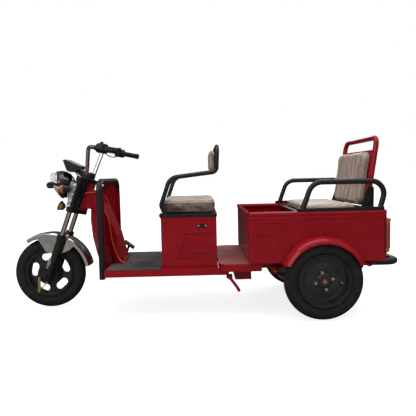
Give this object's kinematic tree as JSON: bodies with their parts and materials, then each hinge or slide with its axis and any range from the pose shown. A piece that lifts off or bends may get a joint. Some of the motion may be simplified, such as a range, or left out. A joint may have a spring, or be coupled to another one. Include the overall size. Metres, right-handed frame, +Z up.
{
  "type": "electric cargo tricycle",
  "caption": "Step-through electric cargo tricycle with a box seat, a steel tub with hand rails and a folding bench, a raked fork and a leaf-sprung drive axle.",
  "frame": {"origin": "on the ground, below the middle of the vehicle's length and width", "axes": "+X to the rear, +Y to the rider's right, +Z up"},
  "size_m": [2.18, 0.836, 0.9531],
  "materials": {
    "red_paint": "gloss",
    "black_paint": "satin",
    "platform_paint": "textured",
    "chrome": "polished",
    "grey_cast": "satin",
    "spring_steel": "dull",
    "gold_steel": "satin",
    "mat_rubber": "matte",
    "tyre": "matte",
    "cushion": "satin",
    "black_plastic": "satin",
    "clear_lens": "clear",
    "orange_lens": "gloss",
    "red_lens": "gloss",
    "orange_cable": "gloss"
  },
  "bodies": {
    "chassis": {"frame": "red_paint", "shield_hoop": "black_paint", "leg_shield": "red_paint", "spine_cover": "red_paint", "floor_pan": "red_paint", "floor_mat": "mat_rubber", "brake_pedal": "black_paint", "brake_cable": "orange_cable", "seat_box": "red_paint", "battery_pack": "black_plastic", "rear_platform": "platform_paint", "tub_floor": "red_paint", "tub_side_left": "red_paint", "tub_side_right": "red_paint", "tub_front": "red_paint", "hand_rails": "black_paint", "bench_pan": "black_paint", "bench_cushion": "cushion", "tail_lamps": "black_plastic", "tail_lenses": "red_lens", "rear_bumper": "black_paint", "drive_axle": "grey_cast", "leaf_springs": "spring_steel", "parking_lever": "red_paint"},
    "steering": {"fork_yokes": "black_paint", "fork_stanchions": "chrome", "fork_sliders": "black_paint", "front_fender": "chrome", "front_axle": "spring_steel", "handlebar": "chrome", "grips": "mat_rubber", "bar_controls": "black_plastic", "headlamp_shell": "black_plastic", "headlamp_lens": "clear_lens", "lamp_brackets": "grey_cast", "meter": "black_plastic", "turn_signals": "black_plastic", "turn_lenses": "orange_lens", "horn": "gold_steel", "front_brake": "gold_steel"},
    "front_wheel": {"front_tyre": "tyre", "front_rim": "black_paint"},
    "rear_wheel_left": {"rear_tyre_left": "tyre", "rear_rim_left": "black_paint"},
    "rear_wheel_right": {"rear_tyre_right": "tyre", "rear_rim_right": "black_paint"},
    "seat": {"seat_frame": "black_paint", "seat_cushion": "cushion", "backrest_pad": "cushion"},
    "bench_back": {"bench_back_frame": "red_paint", "bench_back_pad": "cushion"},
    "tailgate": {"tailgate": "red_paint"}
  },
  "joints": [
    {"name": "steering", "type": "hinge", "parent": "chassis", "child": "steering", "pos_m": [-0.82412, 0, 0.18224], "axis": [0.3502, 0, 0.9367], "range_deg": [-40, 40]},
    {"name": "front_wheel_spin", "type": "hinge", "parent": "steering", "child": "front_wheel", "pos_m": [-0.885, 0, 0.205], "axis": [0, 1, 0], "continuous": true},
    {"name": "rear_wheel_left_spin", "type": "hinge", "parent": "chassis", "child": "rear_wheel_left", "pos_m": [0.635, -0.365, 0.205], "axis": [0, 1, 0], "continuous": true},
    {"name": "rear_wheel_right_spin", "type": "hinge", "parent": "chassis", "child": "rear_wheel_right", "pos_m": [0.635, 0.365, 0.205], "axis": [0, 1, 0], "continuous": true},
    {"name": "seat_lid", "type": "hinge", "parent": "chassis", "child": "seat", "pos_m": [-0.215, 0, 0.542], "axis": [0, -1, 0], "range_deg": [0, 40]},
    {"name": "bench_back_fold", "type": "hinge", "parent": "chassis", "child": "bench_back", "pos_m": [0.915, 0, 0.665], "axis": [0, -1, 0], "range_deg": [0, 98]},
    {"name": "tailgate_hinge", "type": "hinge", "parent": "chassis", "child": "tailgate", "pos_m": [0.973, 0, 0.297], "axis": [0, 1, 0], "range_deg": [0, 90]}
  ]
}
